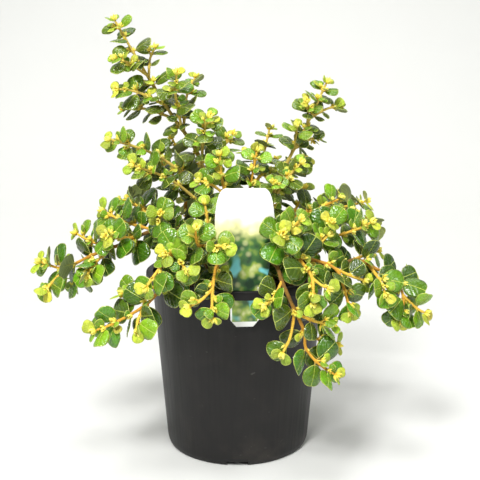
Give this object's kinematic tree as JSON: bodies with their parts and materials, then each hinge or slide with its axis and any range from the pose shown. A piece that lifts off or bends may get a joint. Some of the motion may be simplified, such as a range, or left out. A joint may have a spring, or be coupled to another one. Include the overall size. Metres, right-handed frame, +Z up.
{
  "type": "potted flowering shrub",
  "caption": "Round black nursery pot filled with soil, holding a compact spreading shrub with rounded leathery leaves in opposite pairs on woody stems, and a plant label in its rim slot.",
  "frame": {"origin": "centre of the pot's foot, on the surface that the pot stands on", "axes": "+Z up along the pot's axis; the label and the pictured front of the plant face -Y; +X to the right as seen from the front"},
  "size_m": [0.2897, 0.2404, 0.3363],
  "materials": {
    "pot_plastic": "black satin moulded polypropylene",
    "potting_mix": "rough dark bark-based potting mix",
    "label_plastic": "printed sheet plastic with a soft gloss",
    "foliage": "glossy leathery green leaves on felted orange-brown stems"
  },
  "bodies": {
    "root": {"pot": "pot_plastic", "soil": "potting_mix", "label": "label_plastic", "stem_left_tall": "foliage", "stem_right_tall": "foliage", "stem_centre": "foliage", "stem_back_tall": "foliage", "stem_left_long": "foliage", "stem_left_front": "foliage", "stem_front_left": "foliage", "stem_right_front": "foliage", "stem_right_inner": "foliage", "stem_right_long": "foliage", "stem_right_upper": "foliage", "stem_back_left": "foliage", "stem_back": "foliage", "stem_back_right": "foliage"}
  },
  "joints": []
}
